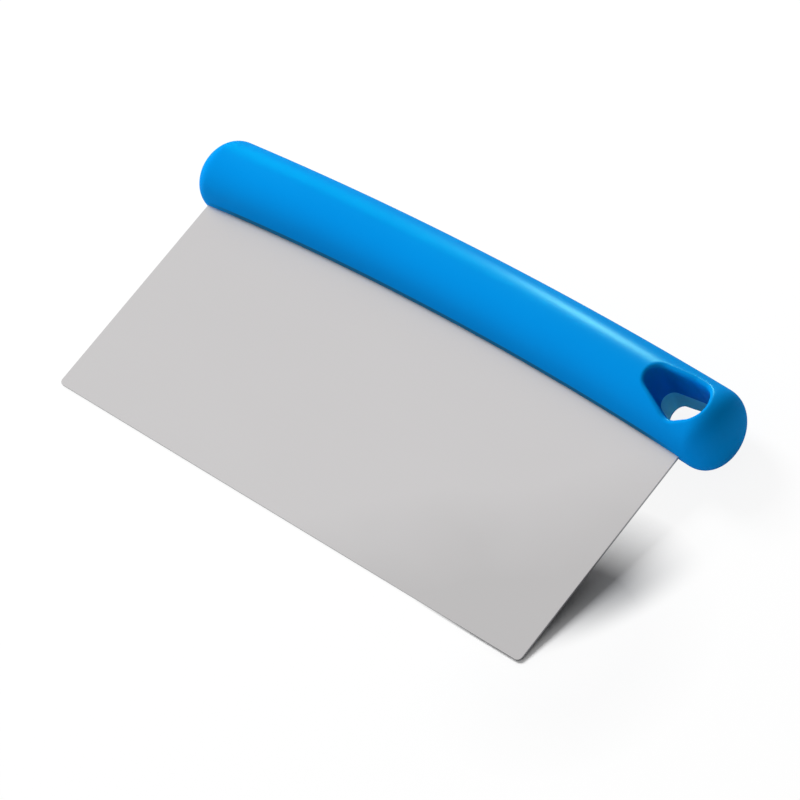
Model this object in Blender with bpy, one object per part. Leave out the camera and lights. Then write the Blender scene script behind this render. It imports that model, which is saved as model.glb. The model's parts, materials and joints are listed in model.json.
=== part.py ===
"""Dough scraper: a flat stainless steel blade moulded into a round blue plastic handle.

The handle is one moulding round the blade's tang. Plastic that filled the tang's windows
holds the blade, so there is no rivet or screw. The tool lies as it does when it is put
down: on the blade's edge and on the two thick ends of the handle, upper face up.

Both pieces are drawn in the tool's own coordinates. There x runs along the edge towards
the hanging hole, y runs from the edge up the blade to the handle, z points out of the
upper face, and z = 0 is the middle of the sheet. All sizes are in metres.
"""

import bmesh
import bpy
from bisect import bisect
from math import asin, atan, atan2, ceil, cos, hypot, pi, radians, sin, sqrt

# Blade
BLADE_LENGTH = 0.220
BLADE_THICKNESS = 0.0010
BLADE_REACH = 0.0820            # from the edge to the handle's underside, at the blade's ends
BLADE_CORNER_RADIUS = 0.0018

# Tang, the part of the sheet inside the handle
TANG_DEPTH = 0.0175             # from the handle's underside to the tang's top, at its ends
TANG_CORNER_RADIUS = 0.0015
TANG_HOLE_MARGIN = 0.0030       # plastic between the tang and the hanging hole
TANG_WINDOW_COUNT = 4
TANG_WINDOW_RADIUS = 0.0040

# Handle, a round bar with an arched middle line, slightly thicker towards its ends
HANDLE_RADIUS = 0.0131          # in the middle
HANDLE_FLARE = 0.0004           # more radius than that, at the blade's ends
HANDLE_ARCH = 0.0037            # rise of the middle line between the blade's ends
PLAIN_END_OVERHANG = 0.0082     # past the blade's end, away from the hanging hole
HOLE_END_OVERHANG = 0.0122      # past the blade's end, at the hanging hole
PLAIN_DOME_LENGTH = 0.0092
HOLE_DOME_LENGTH = 0.0100
DOME_POWER = 2.2                # 2 is an ellipse, more is a flatter end with a tighter edge

# Hanging hole, the outline drawn tight round three circles, cut square to the blade
HOLE_CIRCLES = (                # inset from the handle's end, offset towards the top, radius
    (0.0286, 0.0013, 0.0045),
    (0.0145, 0.0009, 0.0066),
    (0.0180, 0.0001, 0.0074),
)
UPPER_RIM_RADIUS = 0.0012
LOWER_RIM_RADIUS = 0.0005
LOWER_DRAFT = 0.0004            # how much narrower the hole is at the lower face, on all sides
HOLE_WAIST = 0.0005             # the same where the mould's two pins meet
HOLE_WAIST_HEIGHT = -0.0030     # where they meet, from the middle of the sheet

# Clearance between the blade and the plastic round it
FIT_GAP = 0.0003

# Fineness of the curved surfaces
SIDES = 48
DOME_RINGS = 6
BODY_RINGS = 16
PATCH_RINGS = 14
PATCH_MARGIN = 0.0025
RIM_STEPS = 4
OUTLINE_STEPS = 360
CORNER_STEPS = 5
WINDOW_SIDES = 24
SHARP_ANGLE = radians(35)

# Sizes that follow from the ones above
BLADE_HALF = BLADE_LENGTH / 2
END_RADIUS = HANDLE_RADIUS + HANDLE_FLARE
SPINE_END_HEIGHT = BLADE_REACH + END_RADIUS
TANG_TOP = BLADE_REACH + TANG_DEPTH
HANDLE_LEFT = -BLADE_HALF - PLAIN_END_OVERHANG
HANDLE_RIGHT = BLADE_HALF + HOLE_END_OVERHANG
LEFT_SHOULDER = HANDLE_LEFT + PLAIN_DOME_LENGTH
RIGHT_SHOULDER = HANDLE_RIGHT - HOLE_DOME_LENGTH
HOLE_ROUNDS = [(HANDLE_RIGHT - inset, offset, radius) for inset, offset, radius in HOLE_CIRCLES]
HOLE_LEFT = min(x - radius for x, _, radius in HOLE_ROUNDS)
HOLE_RIGHT = max(x + radius for x, _, radius in HOLE_ROUNDS)
HOLE_REACH = max(abs(offset) + radius for _, offset, radius in HOLE_CIRCLES)


def spine_height(x):
    """Height of the handle's middle line above the edge."""
    return SPINE_END_HEIGHT + HANDLE_ARCH * (1 - (x / BLADE_HALF) ** 2)


def bar_radius(x):
    """Radius of the handle, drawn in to nothing over the domes at its two ends."""
    past = max((LEFT_SHOULDER - x) / PLAIN_DOME_LENGTH, (x - RIGHT_SHOULDER) / HOLE_DOME_LENGTH, 0)
    dome = max(1 - past ** DOME_POWER, 0) ** (1 / DOME_POWER)
    return (HANDLE_RADIUS + HANDLE_FLARE * (x / BLADE_HALF) ** 2) * dome


def bar_point(x, angle):
    """Point on the handle, at an angle from the upper face's direction towards the top."""
    radius = bar_radius(x)
    return x, spine_height(x) + radius * sin(angle), radius * cos(angle)


def bar_rise(x, offset):
    """Height of the handle's surface above the sheet, at an offset from its middle line."""
    return sqrt(bar_radius(x) ** 2 - offset ** 2)


def patch_ends():
    """First and last x of the stretch of the handle that is meshed round the hole."""
    rim_end = HOLE_RIGHT + UPPER_RIM_RADIUS
    return HOLE_LEFT - UPPER_RIM_RADIUS - PATCH_MARGIN, (rim_end + HANDLE_RIGHT) / 2


def ring_places():
    """x of every ring of points along the handle, and the patch's first and last ring."""
    patch_start, patch_end = patch_ends()
    quarter = pi / 2
    places = [LEFT_SHOULDER - PLAIN_DOME_LENGTH * sin(quarter * (1 - k / DOME_RINGS))
              for k in range(1, DOME_RINGS)]
    places += [LEFT_SHOULDER + (patch_start - LEFT_SHOULDER) * k / BODY_RINGS
               for k in range(BODY_RINGS)]
    first = len(places)
    places += [patch_start + (patch_end - patch_start) * k / PATCH_RINGS
               for k in range(PATCH_RINGS)]
    last = len(places)
    start = asin((patch_end - RIGHT_SHOULDER) / HOLE_DOME_LENGTH)
    steps = ceil(DOME_RINGS * (quarter - start) / quarter)
    places += [RIGHT_SHOULDER + HOLE_DOME_LENGTH * sin(start + (quarter - start) * k / steps)
               for k in range(steps)]
    return places, first, last


def patch_half_columns():
    """How many columns of faces the patch round the hole reaches to either side."""
    column = 2 * pi / SIDES
    return ceil(asin((HOLE_REACH + UPPER_RIM_RADIUS) / END_RADIUS) / column + 1)


def hole_outline(fractions, grow=0):
    """Points and outward directions on the hole's grown outline, from its right end round."""
    path = []
    for k in range(OUTLINE_STEPS + 1):
        direction = 2 * pi * k / OUTLINE_STEPS
        ahead, up = cos(direction), sin(direction)
        x, offset, radius = max(HOLE_ROUNDS, key=lambda c: c[0] * ahead + c[1] * up + c[2])
        radius += grow
        path.append((x + radius * ahead, offset + radius * up, direction))
    run = [0]
    for here, there in zip(path, path[1:]):
        run.append(run[-1] + hypot(there[0] - here[0], there[1] - here[1]))
    points = []
    for fraction in fractions:
        k = bisect(run, fraction * run[-1]) - 1
        share = (fraction * run[-1] - run[k]) / (run[k + 1] - run[k])
        points.append([a + (b - a) * share for a, b in zip(path[k], path[k + 1])])
    return points


def rim_section(x, offset, direction, rim_radius):
    """Rounded rim at one place on the outline, as (distance outwards, height) pairs.

    The arc touches the handle's surface and the hole's wall.
    """
    step = rim_radius / 20

    def rise(out):
        return bar_rise(x + out * cos(direction), offset + out * sin(direction))

    touch = rim_radius
    for _ in range(8):
        slope = atan((rise(touch + step) - rise(touch - step)) / (2 * step))
        touch = rim_radius * (1 - sin(slope))
    centre = rise(touch) - rim_radius * cos(slope)
    first = pi / 2 + slope
    angles = [first + (pi - first) * k / RIM_STEPS for k in range(RIM_STEPS + 1)]
    return [(rim_radius * (1 + cos(a)), centre + rim_radius * sin(a)) for a in angles]


def patch_border(first, last, half):
    """Ring and column of each grid point round the patch, from its right end round."""
    border = [(last, j) for j in range(half)]
    border += [(i, half) for i in range(last, first, -1)]
    border += [(first, j) for j in range(half, -half, -1)]
    border += [(i, -half) for i in range(first, last)]
    border += [(last, j) for j in range(-half, 0)]
    return border


def border_fractions(border, places):
    """How far round the patch's border each of its points lies, from 0 up to 1."""
    column = 2 * pi / SIDES * END_RADIUS
    run = [0]
    for (i, j), (m, n) in zip(border, border[1:] + border[:1]):
        run.append(run[-1] + hypot(places[m] - places[i], (n - j) * column))
    return [r / run[-1] for r in run[:-1]]


def add_hole(bm, grid, places, first, last, half):
    """Rounded rims on both sides of the handle, and the hole's wall between them."""
    border = patch_border(first, last, half)
    fractions = border_fractions(border, places)
    waist = [bm.verts.new((x, spine_height(x) + offset, HOLE_WAIST_HEIGHT))
             for x, offset, _ in hole_outline(fractions, -HOLE_WAIST)]
    for side, rim_radius, draft in ((1, UPPER_RIM_RADIUS, 0), (-1, LOWER_RIM_RADIUS, LOWER_DRAFT)):
        outline = hole_outline(fractions, -draft)
        columns = []
        for (i, j), (x, offset, direction), low in zip(border, outline, waist):
            column = j % SIDES if side > 0 else (SIDES // 2 - j) % SIDES
            rim = []
            for out, height in rim_section(x, offset, direction, rim_radius):
                px = x + out * cos(direction)
                po = offset + out * sin(direction)
                rim.append((px, po, height))
            touch_x, touch_offset, _ = rim[0]
            angle = (asin(touch_offset / bar_radius(touch_x)) + 2 * pi * j / SIDES) / 2
            between = bar_point((touch_x + places[i]) / 2, angle)
            points = [between] + [(px, spine_height(px) + po, height) for px, po, height in rim]
            strip = [bm.verts.new((px, py, side * pz)) for px, py, pz in points]
            columns.append([grid[i, column]] + strip + [low])
        for here, there in zip(columns, columns[1:] + columns[:1]):
            for k in range(len(here) - 1):
                bm.faces.new((here[k], here[k + 1], there[k + 1], there[k]))


def handle_mesh():
    """The handle's outer form with its hanging hole, as one closed surface."""
    places, first, last = ring_places()
    half = patch_half_columns()
    bm = bmesh.new()

    def inside_patch(i, j):
        turned = [(j + SIDES // 4) % SIDES - SIDES // 4, SIDES // 2 - j]
        return first < i < last and any(-half < t < half for t in turned)

    grid = {}
    for i, x in enumerate(places):
        for j in range(SIDES):
            if not inside_patch(i, j):
                grid[i, j] = bm.verts.new(bar_point(x, 2 * pi * j / SIDES))
    for i in range(len(places) - 1):
        for j in range(SIDES):
            middle = (j + 0.5 + SIDES / 4) % SIDES - SIDES / 4
            covered = abs(middle) < half or abs(SIDES / 2 - middle) < half
            if first <= i < last and covered:
                continue
            n = (j + 1) % SIDES
            bm.faces.new((grid[i, j], grid[i + 1, j], grid[i + 1, n], grid[i, n]))
    for i, x in ((0, HANDLE_LEFT), (len(places) - 1, HANDLE_RIGHT)):
        tip = bm.verts.new((x, spine_height(x), 0))
        for j in range(SIDES):
            bm.faces.new((tip, grid[i, j], grid[i, (j + 1) % SIDES]))
    add_hole(bm, grid, places, first, last, half)
    bmesh.ops.recalc_face_normals(bm, faces=bm.faces)
    return finished_mesh("handle", bm)


def rounded_corner(before, corner, after, radius):
    """Arc that replaces one corner of a flat outline whose sides meet squarely there."""
    def unit(end):
        length = hypot(end[0] - corner[0], end[1] - corner[1])
        return (end[0] - corner[0]) / length, (end[1] - corner[1]) / length

    (ax, ay), (bx, by) = unit(before), unit(after)
    centre = corner[0] + radius * (ax + bx), corner[1] + radius * (ay + by)
    points = []
    for k in range(CORNER_STEPS + 1):
        angle = pi / 2 * k / CORNER_STEPS
        points.append((centre[0] - radius * (bx * cos(angle) + ax * sin(angle)),
                       centre[1] - radius * (by * cos(angle) + ay * sin(angle))))
    return points


def blade_outlines(grow):
    """The sheet's outline and its tang windows, with the metal grown on all sides."""
    half = BLADE_HALF + grow
    tang = HOLE_LEFT - TANG_HOLE_MARGIN + grow
    hole_low = min(spine_height(x) + offset - radius for x, offset, radius in HOLE_ROUNDS)
    shoulder = hole_low - TANG_HOLE_MARGIN + grow
    top = TANG_TOP + grow
    outer = TANG_CORNER_RADIUS + grow
    inner = TANG_CORNER_RADIUS - grow
    edge = BLADE_CORNER_RADIUS + grow
    right = [(half, -grow, edge), (half, shoulder, outer), (tang, shoulder, inner), (tang, top, outer)]
    corners = right + [(-x, y, radius) for x, y, radius in reversed(right)]
    outline = []
    for k, (x, y, radius) in enumerate(corners):
        outline += rounded_corner(corners[k - 1], (x, y), corners[(k + 1) % len(corners)], radius)

    spacing = 2 * tang / TANG_WINDOW_COUNT
    height = (spine_height(0) - HANDLE_RADIUS + TANG_TOP) / 2
    radius = TANG_WINDOW_RADIUS - grow
    windows = []
    for k in range(TANG_WINDOW_COUNT):
        x = (k - (TANG_WINDOW_COUNT - 1) / 2) * spacing
        angles = [2 * pi * s / WINDOW_SIDES for s in range(WINDOW_SIDES)]
        windows.append([(x + radius * cos(a), height + radius * sin(a)) for a in angles])
    return [outline] + windows


def plate_mesh(name, outlines, thickness):
    """Flat plate with windows, centred on z = 0."""
    bm = bmesh.new()
    for outline in outlines:
        verts = [bm.verts.new((x, y, -thickness / 2)) for x, y in outline]
        for a, b in zip(verts, verts[1:] + verts[:1]):
            bm.edges.new((a, b))
    bmesh.ops.triangle_fill(bm, edges=bm.edges, use_beauty=True)
    raised = bmesh.ops.extrude_face_region(bm, geom=bm.faces, use_keep_orig=True)["geom"]
    lifted = [part for part in raised if isinstance(part, bmesh.types.BMVert)]
    bmesh.ops.translate(bm, verts=lifted, vec=(0, 0, thickness))
    bmesh.ops.recalc_face_normals(bm, faces=bm.faces)
    return finished_mesh(name, bm)


def finished_mesh(name, bm):
    """Mesh from a bmesh, shaded smooth except at its edges."""
    mesh = bpy.data.meshes.new(name)
    bm.to_mesh(mesh)
    bm.free()
    mesh.shade_smooth()
    mesh.set_sharp_from_angle(angle=SHARP_ANGLE)
    return mesh


def rest_tilt():
    """Slope of the blade when the edge and the handle's thickest ring touch a table."""
    half = BLADE_THICKNESS / 2
    return max(asin(bar_radius(x) / hypot(spine_height(x), half)) - atan2(half, spine_height(x))
               for x in ring_places()[0])


def tool_frame():
    """Empty that lays the tool down, with the origin under the middle of its outer size."""
    tilt = rest_tilt()
    front = -BLADE_THICKNESS / 2 * sin(tilt)
    back = spine_height(0) * cos(tilt) + HANDLE_RADIUS
    frame = bpy.data.objects.new("tool_frame", None)
    frame.rotation_euler.x = tilt
    frame.location = (-(HANDLE_LEFT + HANDLE_RIGHT) / 2,
                      -(front + back) / 2,
                      BLADE_THICKNESS / 2 * cos(tilt))
    bpy.context.collection.objects.link(frame)
    return frame


def add_object(name, mesh, frame, material=None):
    """Object in the tool's coordinates."""
    obj = bpy.data.objects.new(name, mesh)
    obj.parent = frame
    bpy.context.collection.objects.link(obj)
    if material:
        mesh.materials.append(material)
    return obj


def principled(name, colour, metallic, roughness):
    """Plain material with one Principled shader."""
    material = bpy.data.materials.new(name)
    material.use_nodes = True
    shader = material.node_tree.nodes["Principled BSDF"]
    shader.inputs["Base Color"].default_value = (*colour, 1)
    shader.inputs["Metallic"].default_value = metallic
    shader.inputs["Roughness"].default_value = roughness
    return material


def stainless_steel():
    return principled("stainless_steel", (0.60, 0.60, 0.60), 1.0, 0.35)


def blue_plastic():
    return principled("blue_plastic", (0.005, 0.22, 0.70), 0.0, 0.42)


def build_blade(frame):
    """Sheet with rounded lower corners and a tang cut clear of the hanging hole."""
    mesh = plate_mesh("blade", blade_outlines(0), BLADE_THICKNESS)
    return add_object("blade", mesh, frame, stainless_steel())


def build_handle(frame):
    """Moulded bar, less the space that the tang fills; pillars stay in the windows."""
    handle = add_object("handle", handle_mesh(), frame, blue_plastic())
    space = plate_mesh("tang_space", blade_outlines(FIT_GAP), BLADE_THICKNESS + 2 * FIT_GAP)
    cutter = add_object("tang_space", space, frame)
    cutter.hide_render = True
    cutter.display_type = "WIRE"
    cut = handle.modifiers.new("tang_space", "BOOLEAN")
    cut.operation = "DIFFERENCE"
    cut.solver = "EXACT"
    cut.object = cutter
    return handle


def main():
    for obj in list(bpy.data.objects):
        bpy.data.objects.remove(obj)
    frame = tool_frame()
    build_blade(frame)
    build_handle(frame)


main()
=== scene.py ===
"""Dough scraper: satin steel blade moulded into a blue plastic handle, on a white table.

The pieces are drawn in the tool's own coordinates, in metres. There x runs along the edge
towards the hanging hole, y runs from the edge up the blade to the handle, z points out of
the upper face, and z = 0 is the middle of the sheet.
"""

import bmesh
import bpy
import json
from bisect import bisect
from math import asin, atan, atan2, cos, hypot, pi, radians, sin, sqrt
from mathutils import Matrix, Quaternion, Vector


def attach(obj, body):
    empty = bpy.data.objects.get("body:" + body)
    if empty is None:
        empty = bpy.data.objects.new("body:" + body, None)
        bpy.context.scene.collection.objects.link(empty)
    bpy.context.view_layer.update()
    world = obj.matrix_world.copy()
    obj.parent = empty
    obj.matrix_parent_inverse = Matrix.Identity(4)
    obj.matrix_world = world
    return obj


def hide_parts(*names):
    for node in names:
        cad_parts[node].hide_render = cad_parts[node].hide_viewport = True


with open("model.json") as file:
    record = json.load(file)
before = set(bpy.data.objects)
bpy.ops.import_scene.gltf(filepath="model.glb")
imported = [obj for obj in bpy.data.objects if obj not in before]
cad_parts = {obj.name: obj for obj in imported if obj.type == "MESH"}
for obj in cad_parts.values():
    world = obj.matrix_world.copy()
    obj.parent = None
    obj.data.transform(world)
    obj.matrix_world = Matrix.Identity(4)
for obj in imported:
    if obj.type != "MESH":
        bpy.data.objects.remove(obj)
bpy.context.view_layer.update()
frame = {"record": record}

# Blade
BLADE_LENGTH = 0.220
BLADE_THICKNESS = 0.0010
BLADE_REACH = 0.0820
BLADE_CORNER_RADIUS = 0.0018
BLADE_EDGE_RADIUS = 0.00012

# Tang
TANG_DEPTH = 0.0175
TANG_CORNER_RADIUS = 0.0015
TANG_HOLE_MARGIN = 0.0030
TANG_WINDOW_COUNT = 4
TANG_WINDOW_RADIUS = 0.0040
TANG_HAIRLINE = 0.00006

# Handle
HANDLE_RADIUS = 0.0131
HANDLE_FLARE = 0.0004
HANDLE_ARCH = 0.0037
PLAIN_END_OVERHANG = 0.0082
HOLE_END_OVERHANG = 0.0122
PLAIN_DOME_LENGTH = 0.0092
HOLE_DOME_LENGTH = 0.0100
DOME_POWER = 2.2

# Hanging hole, drawn tight round three circles: inset from the handle's end, offset, radius
HOLE_CIRCLES = (
    (0.0286, 0.0013, 0.0045),
    (0.0145, 0.0009, 0.0066),
    (0.0180, 0.0001, 0.0074),
)
UPPER_RIM_RADIUS = 0.0012
LOWER_RIM_RADIUS = 0.0005
LOWER_DRAFT = 0.0004            # how much narrower the hole is at the lower face, on all sides
HOLE_WAIST = 0.0005             # the same where the mould's two pins meet
HOLE_WAIST_HEIGHT = -0.0030

# Fineness
SIDES = 144
DOME_RINGS = 26
BODY_RINGS = 200
PATCH_MARGIN = 0.0025
PATCH_SIDE_MARGIN = radians(9)
PATCH_STEPS = 8
RIM_STEPS = 10
WALL_STEPS = 8
CORNER_STEPS = 16
EDGE_STEPS = 4
WINDOW_SIDES = 32
OUTLINE_STEPS = 360
TOUCH_ROUNDS = 8                # after these a rim's touching point no longer moves
SHARP_ANGLE = radians(35)
MERGE_DISTANCE = 1e-6

# Steel, with each fleck's length along the sheet and width across it
STEEL_COLOURS = ((0.652, 0.639, 0.642, 1), (0.689, 0.676, 0.679, 1))
# painted darker reflection, growing towards the hole's end of the blade and towards the edge
DIMMER_REFLECTION_STEEL = (0.580, 0.569, 0.570, 1)
# painted shade on the sheared edges
SHADED_EDGE_STEEL = (0.32, 0.32, 0.33, 1)
GRAIN_SIZE = (0.040, 0.00012)
STEEL_CLOUD_SIZE = (0.060, 0.035)
DIMMER_REFLECTION_SLANT = 1.3                # how much faster the painted darker reflection fades up the blade than along it
DIMMER_REFLECTION_FADE = 0.060
STEEL_ROUGHNESS = 0.30
SHEARED_ROUGHNESS = 0.15        # added at the sheared edges
GRAIN_RELIEF = 0.25
TEXTURE_DEPTH = 0.00001         # of the steel and of the plastic

# Plastic
PLASTIC_COLOURS = ((0.0, 0.236, 0.641, 1), (0.0, 0.252, 0.668, 1))
PLASTIC_CLOUD_SIZE = (0.050, 0.020)
PEEL_SIZE = (0.0011, 0.0011)
SPARK_SIZE = (0.00022, 0.00022)
PARTING_LINE_HALF = 0.00012
PLASTIC_ROUGHNESS = 0.55
SHINE = 0.032                   # the coat stands for all of the plastic's shine
SHINE_ROUGHNESS = 0.34
MOULD_RELIEF = 0.5

# Painted shade: darker line on the plastic where it meets the sheet
CREASE_SHADE_COLOUR = (0.010, 0.12, 0.24, 1)
CREASE_SHADE_HEIGHT = 0.0030
CREASE_SHADE_BLUR = 0.0004
CREASE_SHADE_TOP = 0.0878             # from the edge
CREASE_SHADE_FADE = 0.015             # at the sheet's two ends

# Hole's wall below the waist, paler for the white table's light
LOWER_WALL_COLOUR = (0.22, 0.72, 0.85, 1)
LOWER_WALL_DEPTH = 0.0005       # how far under the skin it starts
LOWER_WALL_BLUR = 0.0004
WAIST_BLUR = 0.0003

# Camera, at the photograph's viewing angle
VIEW_AZIMUTH = radians(61.671)
VIEW_ELEVATION = radians(47.077)
VIEW_ROLL = radians(-24.459)
VIEW_AIM = (0.01408, -0.00502, 0.015)
VIEW_RANGE = 1.0919
LENS = 151.6
SENSOR_WIDTH = 36.0

# Table and light
TABLE_SIZE = 6.0
FILL_STRENGTH = 0.42
FILL_LEAN = Vector((-0.88, -0.32, 0.0))
SHADE_PLACE = (0.112, -0.042)   # round here the table keeps the whole shadow
SHADE_REACH = 0.026
SHADE_FADE = 0.026
GLOW_SHARE = 0.90               # how white the rest of the table is made
PAINTED_SHADOW_PLACE = (0.114, -0.019)    # darkest place of the painted shadow, beside the blade's lower corner
PAINTED_SHADOW_REACH = (0.0165, 0.044)
PAINTED_SHADOW_TURN = radians(-26)
TABLE_COLOUR = (0.95, 0.95, 0.95, 1)
# painted shadow on the table, beside the blade's lower corner
PAINTED_SHADOW_COLOUR = (0.36, 0.365, 0.375, 1)
ROOM_BRIGHTEST = 0.74
ROOM_FALL = 0.7

# Sizes that follow from the ones above
BLADE_HALF = BLADE_LENGTH / 2
END_RADIUS = HANDLE_RADIUS + HANDLE_FLARE
SPINE_END_HEIGHT = BLADE_REACH + END_RADIUS
TANG_TOP = BLADE_REACH + TANG_DEPTH
HANDLE_LEFT = -BLADE_HALF - PLAIN_END_OVERHANG
HANDLE_RIGHT = BLADE_HALF + HOLE_END_OVERHANG
LEFT_SHOULDER = HANDLE_LEFT + PLAIN_DOME_LENGTH
RIGHT_SHOULDER = HANDLE_RIGHT - HOLE_DOME_LENGTH
HOLE_ROUNDS = [(HANDLE_RIGHT - inset, offset, radius) for inset, offset, radius in HOLE_CIRCLES]
HOLE_LEFT = min(x - radius for x, _, radius in HOLE_ROUNDS)
HOLE_RIGHT = max(x + radius for x, _, radius in HOLE_ROUNDS)
HOLE_REACH = max(abs(offset) + radius for _, offset, radius in HOLE_CIRCLES)


class Term:
    """Number in a node tree, so that a formula can be written out."""

    def __init__(self, tree, socket):
        self.tree = tree
        self.socket = socket

    def sum(self, operation, *values):
        node = self.tree.nodes.new("ShaderNodeMath")
        node.operation = operation
        for plug, value in zip(node.inputs, values):
            put(self.tree, plug, value)
        return Term(self.tree, node.outputs[0])

    def __add__(self, other):
        return self.sum("ADD", self, other)

    def __sub__(self, other):
        return self.sum("SUBTRACT", self, other)

    def __rsub__(self, other):
        return self.sum("SUBTRACT", other, self)

    def __mul__(self, other):
        return self.sum("MULTIPLY", self, other)

    def __truediv__(self, other):
        return self.sum("DIVIDE", self, other)

    def __rtruediv__(self, other):
        return self.sum("DIVIDE", other, self)

    def __pow__(self, other):
        return self.sum("POWER", self, other)

    def maximum(self, other):
        return self.sum("MAXIMUM", self, other)

    def sine(self):
        return self.sum("SINE", self)

    def cosine(self):
        return self.sum("COSINE", self)

    def size(self):
        return self.sum("ABSOLUTE", self)

    def below(self, other):
        return self.sum("LESS_THAN", self, other)

    def above(self, other):
        return self.sum("GREATER_THAN", self, other)

    def clamped(self):
        return self.sum("MINIMUM", self.maximum(0.0), 1.0)


def put(tree, plug, value):
    """Gives an input a value, or links it to another node."""
    if isinstance(value, Term):
        value = value.socket
    if isinstance(value, bpy.types.NodeSocket):
        tree.links.new(value, plug)
    else:
        plug.default_value = value


def add_node(tree, kind, inputs=None, **settings):
    """Node with its settings, and with its inputs given by name."""
    node = tree.nodes.new(kind)
    for name, value in settings.items():
        setattr(node, name, value)
    for name, value in (inputs or {}).items():
        put(tree, node.inputs[name], value)
    return node


def tool_turn():
    """Tilt of the tool's coordinates about the world's X, and their origin, from the edge."""
    edge = next(m for m in frame["record"]["mounts"] if m["name"] == "scraping_edge")
    return asin(-edge["axis"][2]), Vector(edge["pos_m"])


def tool_matrix():
    """Turn and shift from the tool's coordinates to the frame."""
    tilt, origin = tool_turn()
    return Matrix.Translation(origin) @ Matrix.Rotation(tilt, 4, "X")


def spine_height(x):
    """Height of the handle's middle line above the edge."""
    return SPINE_END_HEIGHT + HANDLE_ARCH * (1 - (x / BLADE_HALF) ** 2)


def bar_radius(x):
    """Radius of the handle, drawn in to nothing over the domes at its two ends."""
    past = max((LEFT_SHOULDER - x) / PLAIN_DOME_LENGTH, (x - RIGHT_SHOULDER) / HOLE_DOME_LENGTH, 0)
    dome = max(1 - past ** DOME_POWER, 0) ** (1 / DOME_POWER)
    return (HANDLE_RADIUS + HANDLE_FLARE * (x / BLADE_HALF) ** 2) * dome


def bar_point(x, angle):
    """Point on the handle, at an angle from the upper face's direction towards the top."""
    radius = bar_radius(x)
    return x, spine_height(x) + radius * sin(angle), radius * cos(angle)


def bar_rise(x, offset):
    """Height of the handle's surface above the sheet, at an offset from its middle line."""
    return sqrt(bar_radius(x) ** 2 - offset ** 2)


def hole_outline(fractions, grow=0):
    """Points and outward directions on the hole's grown outline, from its right end round."""
    path = []
    for k in range(OUTLINE_STEPS + 1):
        direction = 2 * pi * k / OUTLINE_STEPS
        ahead, up = cos(direction), sin(direction)
        x, offset, radius = max(HOLE_ROUNDS, key=lambda c: c[0] * ahead + c[1] * up + c[2])
        radius += grow
        path.append((x + radius * ahead, offset + radius * up, direction))
    run = [0]
    for here, there in zip(path, path[1:]):
        run.append(run[-1] + hypot(there[0] - here[0], there[1] - here[1]))
    points = []
    for fraction in fractions:
        k = bisect(run, fraction * run[-1]) - 1
        share = (fraction * run[-1] - run[k]) / (run[k + 1] - run[k])
        points.append([a + (b - a) * share for a, b in zip(path[k], path[k + 1])])
    return points


def rim_section(x, offset, direction, rim_radius):
    """Rounded rim at one place on the outline, as (distance outwards, height) pairs.

    The arc touches the handle's surface and the hole's wall.
    """
    def rise(out):
        return bar_rise(x + out * cos(direction), offset + out * sin(direction))

    step = rim_radius / 20
    touch = rim_radius
    for _ in range(TOUCH_ROUNDS):
        slope = atan((rise(touch + step) - rise(touch - step)) / (2 * step))
        touch = rim_radius * (1 - sin(slope))
    centre = rise(touch) - rim_radius * cos(slope)
    first = pi / 2 + slope
    angles = [first + (pi - first) * k / RIM_STEPS for k in range(RIM_STEPS + 1)]
    return [(rim_radius * (1 + cos(a)), centre + rim_radius * sin(a)) for a in angles]


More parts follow.
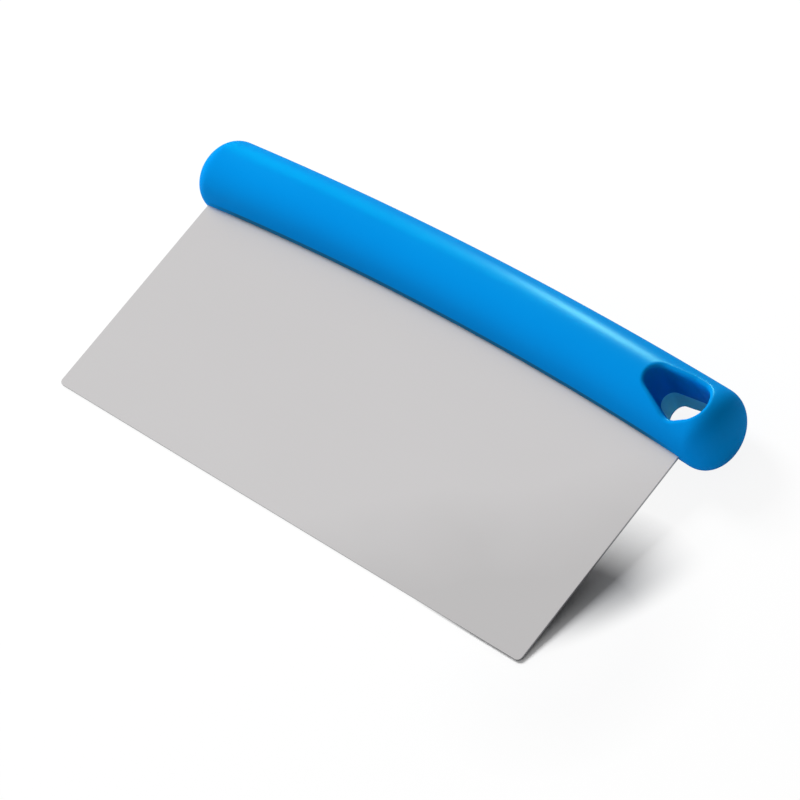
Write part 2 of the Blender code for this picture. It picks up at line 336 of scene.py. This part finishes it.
def bar_skin_tree():
    """Geometry nodes that draw the handle's round skin, with a window on each face for the hole."""
    tree = bpy.data.node_groups.new("bar_skin", "GeometryNodeTree")
    numbers = ["Left Shoulder", "Right Shoulder", "Left Dome", "Right Dome", "Dome Power", "Radius",
               "Flare", "Half Length", "Arch", "End Height", "Window Start", "Window End",
               "Window Angle"]
    for name in numbers:
        tree.interface.new_socket(name, in_out="INPUT", socket_type="NodeSocketFloat")
    for name in ("Sides", "Dome Rings", "Body Rings"):
        tree.interface.new_socket(name, in_out="INPUT", socket_type="NodeSocketInt")
    tree.interface.new_socket("Material", in_out="INPUT", socket_type="NodeSocketMaterial")
    tree.interface.new_socket("Geometry", in_out="OUTPUT", socket_type="NodeSocketGeometry")
    given = tree.nodes.new("NodeGroupInput")
    size = {name: Term(tree, given.outputs[name]) for name in numbers}
    sides, dome_rings, body_rings = (Term(tree, given.outputs[n])
                                     for n in ("Sides", "Dome Rings", "Body Rings"))

    rings = dome_rings * 2 + body_rings
    grid = add_node(tree, "GeometryNodeMeshGrid", {"Size X": 1.0, "Size Y": 1.0,
                                                   "Vertices X": rings + 1,
                                                   "Vertices Y": sides + 1})
    place = tree.nodes.new("GeometryNodeInputPosition")
    parts = add_node(tree, "ShaderNodeSeparateXYZ", {"Vector": place.outputs[0]})
    ring = (Term(tree, parts.outputs["X"]) + 0.5) * rings
    angle = (Term(tree, parts.outputs["Y"]) + 0.25) * (2 * pi)
    left = (1 - ring / dome_rings).clamped()
    body = ((ring - dome_rings) / body_rings).clamped()
    right = ((ring - dome_rings - body_rings) / dome_rings).clamped()
    span = size["Right Shoulder"] - size["Left Shoulder"]
    left_reach = (left * (pi / 2)).sine()
    right_reach = (right * (pi / 2)).sine()
    x = size["Left Shoulder"] + span * body
    x = x + size["Right Dome"] * right_reach - size["Left Dome"] * left_reach
    past = left_reach.maximum(right_reach)
    dome = (1 - past ** size["Dome Power"]).clamped() ** (1 / size["Dome Power"])
    share = (x / size["Half Length"]).size() ** 2
    radius = (size["Radius"] + size["Flare"] * share) * dome
    y = size["End Height"] + size["Arch"] * (1 - share) + radius * angle.sine()
    z = radius * angle.cosine()

    from_face = (angle.cosine().size() - 1).size()
    in_window = x.above(size["Window Start"]) * x.below(size["Window End"])
    in_window = in_window * from_face.below(1 - size["Window Angle"].cosine())
    opened = add_node(tree, "GeometryNodeDeleteGeometry",
                      {"Geometry": grid.outputs["Mesh"], "Selection": in_window}, domain="FACE")
    point = add_node(tree, "ShaderNodeCombineXYZ", {"X": x, "Y": y, "Z": z})
    bent = add_node(tree, "GeometryNodeSetPosition",
                    {"Geometry": opened.outputs[0], "Position": point.outputs[0]})
    merged = add_node(tree, "GeometryNodeMergeByDistance",
                      {"Geometry": bent.outputs[0], "Distance": MERGE_DISTANCE})
    smooth = add_node(tree, "GeometryNodeSetShadeSmooth", {"Geometry": merged.outputs[0]})
    real = add_node(tree, "GeometryNodeRealizeInstances", {"Geometry": smooth.outputs[0]})
    painted = add_node(tree, "GeometryNodeSetMaterial", {"Geometry": real.outputs[0],
                                                         "Material": given.outputs["Material"]})
    add_node(tree, "NodeGroupOutput", {"Geometry": painted.outputs[0]})
    return tree


def nodes_mesh(name, tree, values):
    """Plain mesh that a geometry node tree makes from its named inputs."""
    obj = bpy.data.objects.new(name, bpy.data.meshes.new(name))
    bpy.context.scene.collection.objects.link(obj)
    modifier = obj.modifiers.new(name, "NODES")
    modifier.node_group = tree
    for socket in tree.interface.items_tree:
        if socket.in_out == "INPUT":
            modifier[socket.identifier] = values[socket.name]
    return taken_mesh(obj)


def taken_mesh(obj):
    """Mesh of an object with its modifiers worked in, and the object gone."""
    evaluated = obj.evaluated_get(bpy.context.evaluated_depsgraph_get())
    mesh = bpy.data.meshes.new_from_object(evaluated)
    obj.modifiers.clear()
    bpy.data.objects.remove(obj)
    return mesh


def window_edge(bm, side):
    """Points round the open window on one face, from its right end towards the top."""
    def lean(vert):
        return atan2(vert.co.y - spine_height(vert.co.x), side * vert.co.z)

    def beside(vert):
        return [e.other_vert(vert) for e in vert.link_edges if e.is_boundary]

    open_verts = [v for v in bm.verts if v.is_boundary and side * v.co.z > 0]
    start = max(open_verts, key=lambda v: (round(v.co.x, 6), -abs(lean(v))))
    edge = [start, max(beside(start), key=lean)]
    while True:
        ahead = next(v for v in beside(edge[-1]) if v != edge[-2])
        if ahead == start:
            return [(v, v.co.x, lean(v)) for v in edge]
        edge.append(ahead)


def edge_fractions(edge):
    """How far round the window each of its points lies, from 0 up to 1."""
    run = [0]
    for (_, x, lean), (_, next_x, next_lean) in zip(edge, edge[1:] + edge[:1]):
        run.append(run[-1] + hypot(next_x - x, (next_lean - lean) * END_RADIUS))
    return [r / run[-1] for r in run[:-1]]


def share_between(start, end, steps):
    """Values at even steps after the start and before the end."""
    return [start + (end - start) * k / steps for k in range(1, steps)]


def add_hole(bm):
    """Skin round the hole, its rounded rims and the drafted walls that meet at the waist."""
    for side, rim_radius, draft in ((1, UPPER_RIM_RADIUS, 0), (-1, LOWER_RIM_RADIUS, LOWER_DRAFT)):
        edge = window_edge(bm, side)
        fractions = edge_fractions(edge)
        outline = hole_outline(fractions, -draft)
        if side > 0:
            waist = [bm.verts.new((x, spine_height(x) + offset, HOLE_WAIST_HEIGHT))
                     for x, offset, _ in hole_outline(fractions, -HOLE_WAIST)]
        columns = []
        for (vert, edge_x, lean), (x, offset, direction), low in zip(edge, outline, waist):
            rim = []
            for out, height in rim_section(x, offset, direction, rim_radius):
                rim_x = x + out * cos(direction)
                rim_y = spine_height(rim_x) + offset + out * sin(direction)
                rim.append(Vector((rim_x, rim_y, side * height)))
            touch_x = rim[0].x
            touch_lean = asin((rim[0].y - spine_height(touch_x)) / bar_radius(touch_x))
            points = []
            for px, angle in zip(share_between(edge_x, touch_x, PATCH_STEPS),
                                 share_between(lean, touch_lean, PATCH_STEPS)):
                across, up, rise = bar_point(px, angle)
                points.append((across, up, side * rise))
            points += rim
            points += [rim[-1].lerp(low.co, t) for t in share_between(0, 1, WALL_STEPS)]
            columns.append([vert] + [bm.verts.new(p) for p in points] + [low])
        for here, there in zip(columns, columns[1:] + columns[:1]):
            for k in range(len(here) - 1):
                bm.faces.new((here[k], here[k + 1], there[k + 1], there[k]))


def rounded_corner(before, corner, after, radius):
    """Arc that replaces one corner of a flat outline whose sides meet squarely there."""
    def unit(end):
        length = hypot(end[0] - corner[0], end[1] - corner[1])
        return (end[0] - corner[0]) / length, (end[1] - corner[1]) / length

    (ax, ay), (bx, by) = unit(before), unit(after)
    centre = corner[0] + radius * (ax + bx), corner[1] + radius * (ay + by)
    points = []
    for k in range(CORNER_STEPS + 1):
        angle = pi / 2 * k / CORNER_STEPS
        points.append((centre[0] - radius * (bx * cos(angle) + ax * sin(angle)),
                       centre[1] - radius * (by * cos(angle) + ay * sin(angle))))
    return points


def blade_outlines(grow):
    """The sheet's outline and its tang windows, with the metal grown on all sides."""
    half = BLADE_HALF + grow
    tang = HOLE_LEFT - TANG_HOLE_MARGIN + grow
    hole_low = min(spine_height(x) + offset - radius for x, offset, radius in HOLE_ROUNDS)
    shoulder = hole_low - TANG_HOLE_MARGIN + grow
    top = TANG_TOP + grow
    outer = TANG_CORNER_RADIUS + grow
    inner = TANG_CORNER_RADIUS - grow
    edge = BLADE_CORNER_RADIUS + grow
    right = [(half, -grow, edge), (half, shoulder, outer),
             (tang, shoulder, inner), (tang, top, outer)]
    corners = right + [(-x, y, radius) for x, y, radius in reversed(right)]
    outline = []
    for k, (x, y, radius) in enumerate(corners):
        outline += rounded_corner(corners[k - 1], (x, y), corners[(k + 1) % len(corners)], radius)

    spacing = 2 * tang / TANG_WINDOW_COUNT
    height = (spine_height(0) - HANDLE_RADIUS + TANG_TOP) / 2
    radius = TANG_WINDOW_RADIUS - grow
    windows = []
    for k in range(TANG_WINDOW_COUNT):
        x = (k - (TANG_WINDOW_COUNT - 1) / 2) * spacing
        angles = [2 * pi * s / WINDOW_SIDES for s in range(WINDOW_SIDES)]
        windows.append([(x + radius * cos(a), height + radius * sin(a)) for a in angles])
    return [outline] + windows


def plate_mesh(name, levels):
    """Plate from one set of outlines at each level, given as (growth, height)."""
    bm = bmesh.new()
    stack = []
    for grow, height in levels:
        stack.append([[bm.verts.new((x, y, height)) for x, y in outline]
                      for outline in blade_outlines(grow)])
    for lower, upper in zip(stack, stack[1:]):
        for low, high in zip(lower, upper):
            for k in range(len(low)):
                n = (k + 1) % len(low)
                bm.faces.new((low[k], low[n], high[n], high[k])).smooth = True
    for level in (stack[0], stack[-1]):
        edges = [bm.edges.get((loop[k - 1], loop[k])) for loop in level for k in range(len(loop))]
        bmesh.ops.triangle_fill(bm, edges=edges, use_beauty=True)
    bmesh.ops.recalc_face_normals(bm, faces=bm.faces)
    mesh = bpy.data.meshes.new(name)
    bm.to_mesh(mesh)
    bm.free()
    return mesh


def add_piece(name, mesh):
    """Object in the scene, at the origin."""
    obj = bpy.data.objects.new(name, mesh)
    bpy.context.scene.collection.objects.link(obj)
    return obj


def finish_piece(name, mesh, material, node):
    """Turns a mesh from the tool's coordinates into the frame, attaches the piece to the root body
    and hides the CAD part.
    """
    mesh.transform(tool_matrix())
    mesh.materials.clear()
    mesh.materials.append(material)
    obj = add_piece(name, mesh)
    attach(obj, "root")
    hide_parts(node)
    return obj


def build_handle():
    """Moulded bar with its hanging hole, cut to a hairline round the tang."""
    material = blue_plastic()
    sizes = {"Left Shoulder": LEFT_SHOULDER, "Right Shoulder": RIGHT_SHOULDER,
             "Left Dome": PLAIN_DOME_LENGTH, "Right Dome": HOLE_DOME_LENGTH,
             "Dome Power": DOME_POWER, "Radius": HANDLE_RADIUS, "Flare": HANDLE_FLARE,
             "Half Length": BLADE_HALF, "Arch": HANDLE_ARCH, "End Height": SPINE_END_HEIGHT,
             "Window Start": HOLE_LEFT - UPPER_RIM_RADIUS - PATCH_MARGIN,
             "Window End": (HOLE_RIGHT + UPPER_RIM_RADIUS + HANDLE_RIGHT) / 2,
             "Window Angle": asin((HOLE_REACH + UPPER_RIM_RADIUS) / END_RADIUS) + PATCH_SIDE_MARGIN,
             "Sides": SIDES, "Dome Rings": DOME_RINGS, "Body Rings": BODY_RINGS,
             "Material": material}
    skin = nodes_mesh("bar_skin", bar_skin_tree(), sizes)
    bm = bmesh.new()
    bm.from_mesh(skin)
    add_hole(bm)
    bmesh.ops.recalc_face_normals(bm, faces=bm.faces)
    for face in bm.faces:
        face.smooth = True
    bm.to_mesh(skin)
    bm.free()

    bar = add_piece("bar", skin)
    levels = [(TANG_HAIRLINE, side * (BLADE_THICKNESS / 2 + TANG_HAIRLINE)) for side in (-1, 1)]
    cutter = add_piece("tang_space", plate_mesh("tang_space", levels))
    cut = bar.modifiers.new("tang_space", "BOOLEAN")
    cut.operation = "DIFFERENCE"
    cut.solver = "EXACT"
    cut.object = cutter
    mesh = taken_mesh(bar)
    bpy.data.objects.remove(cutter)
    mesh.set_sharp_from_angle(angle=SHARP_ANGLE)
    return finish_piece("moulded_handle", mesh, material, "handle")


def build_blade():
    """Sheet whose sheared edges are eased by a very small radius."""
    half = BLADE_THICKNESS / 2
    lower = []
    for k in range(EDGE_STEPS + 1):
        angle = pi / 2 * k / EDGE_STEPS
        lower.append((BLADE_EDGE_RADIUS * (sin(angle) - 1),
                      -half + BLADE_EDGE_RADIUS * (1 - cos(angle))))
    levels = lower + [(grow, -height) for grow, height in reversed(lower)]
    mesh = plate_mesh("blade_sheet", levels)
    return finish_piece("blade_sheet", mesh, satin_steel(), "blade")


def tool_place(tree):
    """Place on the piece in the tool's coordinates, which the finish follows."""
    tilt, origin = tool_turn()
    place = add_node(tree, "ShaderNodeTexCoord").outputs["Object"]
    turned = add_node(tree, "ShaderNodeMapping",
                      {"Vector": place, "Location": origin, "Rotation": (tilt, 0, 0)},
                      vector_type="TEXTURE")
    return turned.outputs[0]


def fleck_group():
    """Soft flecks of a given length and width, from 0 to 1; long ones look like rolled grain."""
    tree = bpy.data.node_groups.new("flecks", "ShaderNodeTree")
    tree.interface.new_socket("Place", in_out="INPUT", socket_type="NodeSocketVector")
    for name in ("Length", "Width", "Contrast", "Detail"):
        tree.interface.new_socket(name, in_out="INPUT", socket_type="NodeSocketFloat")
    tree.interface.new_socket("Value", in_out="OUTPUT", socket_type="NodeSocketFloat")
    given = tree.nodes.new("NodeGroupInput").outputs
    size = add_node(tree, "ShaderNodeCombineXYZ",
                    {"X": given["Length"], "Y": given["Width"], "Z": given["Width"]})
    scaled = add_node(tree, "ShaderNodeVectorMath", {0: given["Place"], 1: size.outputs[0]},
                      operation="DIVIDE")
    noise = add_node(tree, "ShaderNodeTexNoise",
                     {"Vector": scaled.outputs[0], "Scale": 1.0, "Detail": given["Detail"]})
    value = (Term(tree, noise.outputs["Fac"]) - 0.5) * Term(tree, given["Contrast"]) + 0.5
    add_node(tree, "NodeGroupOutput", {"Value": value.clamped()})
    return tree


def flecks(tree, place, size, contrast, detail=2.0):
    """Flecks in one material, from the group that all of them share."""
    length, width = size
    node = add_node(tree, "ShaderNodeGroup",
                    node_tree=bpy.data.node_groups.get("flecks") or fleck_group())
    for name, value in (("Place", place), ("Length", length), ("Width", width),
                        ("Contrast", contrast), ("Detail", detail)):
        put(tree, node.inputs[name], value)
    return Term(tree, node.outputs["Value"])


def mixed_colour(tree, factor, first, second):
    """Colour between two, as a mask says."""
    node = add_node(tree, "ShaderNodeMix", data_type="RGBA")
    put(tree, node.inputs["Factor"], factor)
    colours = [plug for plug in node.inputs if plug.type == "RGBA"]
    for plug, colour in zip(colours, (first, second)):
        put(tree, plug, colour)
    return next(plug for plug in node.outputs if plug.type == "RGBA")


def principled(name):
    """New material, with its node tree and its shader."""
    material = bpy.data.materials.new(name)
    material.use_nodes = True
    tree = material.node_tree
    return material, tree, tree.nodes["Principled BSDF"]


def split_place(tree, place):
    """The three coordinates of a place."""
    parts = add_node(tree, "ShaderNodeSeparateXYZ", {"Vector": place})
    return (Term(tree, parts.outputs[axis]) for axis in "XYZ")


def add_texture(tree, shader, height, strength):
    """Relief of the surface, from a height between 0 and 1."""
    bump = add_node(tree, "ShaderNodeBump",
                    {"Height": height, "Strength": strength, "Distance": TEXTURE_DEPTH})
    put(tree, shader.inputs["Normal"], bump.outputs[0])


def satin_steel():
    """Cold-rolled stainless sheet with faint grain, soft clouds, a painted darker reflection
    towards the edge's end below the hole, and sheared edges that are rougher and painted darker for
    shade.
    """
    material, tree, shader = principled("satin_steel")
    place = tool_place(tree)
    x, y, z = split_place(tree, place)
    grain = flecks(tree, place, GRAIN_SIZE, contrast=1.6, detail=3.0)
    clouds = flecks(tree, place, STEEL_CLOUD_SIZE, contrast=1.6)
    face = mixed_colour(tree, clouds * 0.6 + grain * 0.4, *STEEL_COLOURS)
    # painted darker reflection towards the edge's end below the hanging hole
    dimmer_reflection = (x - y * DIMMER_REFLECTION_SLANT) / DIMMER_REFLECTION_FADE + (clouds - 0.5) * 0.5
    face = mixed_colour(tree, dimmer_reflection.clamped(), face, DIMMER_REFLECTION_STEEL)
    # the sheared edges are rougher, and painted darker for the shade on them
    sheared = z.size().below(BLADE_THICKNESS / 2 - BLADE_EDGE_RADIUS)
    put(tree, shader.inputs["Base Color"], mixed_colour(tree, sheared, face, SHADED_EDGE_STEEL))
    roughness = grain * 0.06 + clouds * 0.04 + STEEL_ROUGHNESS + sheared * SHEARED_ROUGHNESS
    put(tree, shader.inputs["Roughness"], roughness)
    shader.inputs["Metallic"].default_value = 1.0
    add_texture(tree, shader, grain, GRAIN_RELIEF)
    return material


def blue_plastic():
    """Satin moulded polypropylene, with the fine texture of the mould and its parting line."""
    material, tree, shader = principled("blue_plastic")
    place = tool_place(tree)
    x, y, z = split_place(tree, place)
    clouds = flecks(tree, place, PLASTIC_CLOUD_SIZE, contrast=1.5)
    peel = flecks(tree, place, PEEL_SIZE, contrast=1.2)
    spark = flecks(tree, place, SPARK_SIZE, contrast=1.4, detail=1.0)
    plastic = mixed_colour(tree, clouds, *PLASTIC_COLOURS)

    # painted shade along the line where the plastic meets the sheet
    crease_shade = ((CREASE_SHADE_HEIGHT - z.size()) / CREASE_SHADE_BLUR).clamped() * y.below(CREASE_SHADE_TOP)
    crease_shade = crease_shade * ((BLADE_HALF - x.size()) / CREASE_SHADE_FADE).clamped()
    plastic = mixed_colour(tree, crease_shade, plastic, CREASE_SHADE_COLOUR)

    share = (x / BLADE_HALF) ** 2
    middle = (1 - share) * HANDLE_ARCH + SPINE_END_HEIGHT
    radius = share * HANDLE_FLARE + HANDLE_RADIUS
    depth = radius - ((y - middle) ** 2 + z ** 2) ** 0.5
    lower_wall = ((HOLE_WAIST_HEIGHT - z) / WAIST_BLUR).clamped()
    lower_wall = lower_wall * ((depth - LOWER_WALL_DEPTH) / LOWER_WALL_BLUR).clamped()
    lower_wall = lower_wall * x.above(HOLE_LEFT) * x.below(HOLE_RIGHT)
    colour = mixed_colour(tree, lower_wall, plastic, LOWER_WALL_COLOUR)

    put(tree, shader.inputs["Base Color"], colour)
    shader.inputs["Roughness"].default_value = PLASTIC_ROUGHNESS
    shader.inputs["Specular IOR Level"].default_value = 0.0
    shader.inputs["Coat Roughness"].default_value = SHINE_ROUGHNESS
    put(tree, shader.inputs["Coat Weight"], peel * 0.012 + clouds * 0.008 + SHINE)
    parting_line = (1 - z.size() / PARTING_LINE_HALF).clamped()
    relief = peel * 0.25 + spark * 0.15 + parting_line * 0.8
    add_texture(tree, shader, relief, MOULD_RELIEF)
    return material


def ray_kinds(tree):
    """Three terms that are 1 for a camera ray, a glossy ray and a transmission ray."""
    path = tree.nodes.new("ShaderNodeLightPath")
    names = ("Is Camera Ray", "Is Glossy Ray", "Is Transmission Ray")
    return (Term(tree, path.outputs[name]) for name in names)


def white_table():
    """Pale table, made white where it is seen, that keeps the shadow beside the blade and darkens
    it there with a painted shadow.
    """
    material, tree, shader = principled("white_table")
    shader.inputs["Roughness"].default_value = 0.9
    shader.inputs["Specular IOR Level"].default_value = 0.0
    place = add_node(tree, "ShaderNodeTexCoord").outputs["Object"]
    oval = add_node(tree, "ShaderNodeMapping",
                    {"Vector": place, "Location": (*PAINTED_SHADOW_PLACE, 0),
                     "Rotation": (0, 0, PAINTED_SHADOW_TURN), "Scale": (*PAINTED_SHADOW_REACH, 1)},
                    vector_type="TEXTURE")
    reach = add_node(tree, "ShaderNodeVectorMath", {0: oval.outputs[0]}, operation="LENGTH")
    # painted shadow: the table darkens in an oval beside the blade's lower corner
    painted_shadow = (1 - Term(tree, reach.outputs["Value"]) ** 2).clamped() ** 2
    put(tree, shader.inputs["Base Color"], mixed_colour(tree, painted_shadow, TABLE_COLOUR, PAINTED_SHADOW_COLOUR))

    run = add_node(tree, "ShaderNodeVectorMath", {0: place, 1: (*SHADE_PLACE, 0)},
                   operation="DISTANCE")
    away = (Term(tree, run.outputs["Value"]) - SHADE_REACH) / SHADE_FADE
    camera, glossy, through = ray_kinds(tree)
    glow = away.clamped() * GLOW_SHARE * camera.maximum(glossy).maximum(through)
    white = add_node(tree, "ShaderNodeEmission", {"Color": (1, 1, 1, 1), "Strength": 1.0})
    mixed = add_node(tree, "ShaderNodeMixShader", {"Fac": glow})
    put(tree, mixed.inputs[1], shader.outputs[0])
    put(tree, mixed.inputs[2], white.outputs[0])
    put(tree, tree.nodes["Material Output"].inputs["Surface"], mixed.outputs[0])
    return material


def build_table():
    """Square of table under the tool, big enough to fill every view."""
    mesh = bpy.data.meshes.new("table")
    half = TABLE_SIZE / 2
    corners = [(-half, -half, 0), (half, -half, 0), (half, half, 0), (-half, half, 0)]
    mesh.from_pydata(corners, [], [(0, 1, 2, 3)])
    mesh.materials.append(white_table())
    add_piece("table", mesh)


def build_world():
    """White room with a soft fill; its reflection is brightest half-way between level and up."""
    world = bpy.data.worlds.new("white_room")
    bpy.context.scene.world = world
    world.use_nodes = True
    tree = world.node_tree
    background = tree.nodes["Background"]
    background.inputs["Color"].default_value = (1, 1, 1, 1)
    place = add_node(tree, "ShaderNodeTexCoord").outputs["Generated"]
    lean = add_node(tree, "ShaderNodeVectorMath", {0: place, 1: FILL_LEAN},
                    operation="DOT_PRODUCT")
    fill = (Term(tree, lean.outputs["Value"]) + 1) * FILL_STRENGTH
    _, _, rise = split_place(tree, place)
    room = 1 - (rise - ROOM_BRIGHTEST).size() * ROOM_FALL
    camera, glossy, through = ray_kinds(tree)
    seen = camera.maximum(through)
    light = fill + glossy * (room - fill)
    put(tree, background.inputs["Strength"], light + seen * (1 - light))


def add_lamp(name, aim, direction, distance, size, power):
    """Soft rectangular lamp that shines at a point from a direction."""
    lamp = bpy.data.lights.new(name, "AREA")
    lamp.shape = "RECTANGLE"
    lamp.size, lamp.size_y = size
    lamp.energy = power
    obj = bpy.data.objects.new(name, lamp)
    back = Vector(direction).normalized()
    obj.location = Vector(aim) + back * distance
    obj.rotation_mode = "QUATERNION"
    obj.rotation_quaternion = (-back).to_track_quat("-Z", "Y")
    bpy.context.scene.collection.objects.link(obj)
    return obj


def build_lamps(handle):
    """Key lamp for everything, and for the handle alone its highlights and the blade's bounce."""
    key = add_lamp("key_lamp", aim=(0, 0, 0.015), direction=(-0.69, 0.24, 0.69),
                   distance=1.6, size=(0.6, 0.6), power=28)
    streak = add_lamp("streak_lamp", aim=(0.090, 0.04, 0.02), direction=(-0.60, 0.74, 0.33),
                      distance=0.3, size=(0.045, 0.080), power=4)
    sheen = add_lamp("sheen_lamp", aim=(0, 0.04, 0.02), direction=(-0.60, 0.707, 0.374),
                     distance=1.2, size=(0.6, 0.6), power=36)
    bounce = add_lamp("bounce_lamp", aim=(0, 0.04, 0.02), direction=(0.0, -1.0, -0.05),
                      distance=1.2, size=(0.5, 0.5), power=8)
    streak.data.color = (0.42, 1.0, 0.75)
    sheen.data.color = (0.0, 1.0, 0.6)
    bounce.data.color = (0.6, 0.72, 1.0)
    for lamp in (key, bounce):
        lamp.visible_glossy = False
    for lamp in (streak, sheen):
        lamp.visible_diffuse = False
    handle_only = bpy.data.collections.new("handle_only")
    handle_only.objects.link(handle)
    for lamp in (streak, sheen, bounce):
        lamp.light_linking.receiver_collection = handle_only


def build_camera():
    """Camera at the photograph's viewing angle; the photograph isn't level, so it rolls."""
    camera = bpy.data.cameras.new("camera")
    camera.lens = LENS
    camera.sensor_width = SENSOR_WIDTH
    camera.clip_start = 0.01
    obj = bpy.data.objects.new("camera", camera)
    level = cos(VIEW_ELEVATION)
    back = Vector((sin(VIEW_AZIMUTH) * level, -cos(VIEW_AZIMUTH) * level, sin(VIEW_ELEVATION)))
    obj.location = Vector(VIEW_AIM) + back * VIEW_RANGE
    obj.rotation_mode = "QUATERNION"
    obj.rotation_quaternion = (-back).to_track_quat("-Z", "Y") @ Quaternion((0, 0, 1), VIEW_ROLL)
    bpy.context.scene.collection.objects.link(obj)
    bpy.context.scene.camera = obj


bpy.context.scene.view_settings.view_transform = "Standard"
build_camera()
build_world()
build_table()
build_blade()
build_lamps(build_handle())
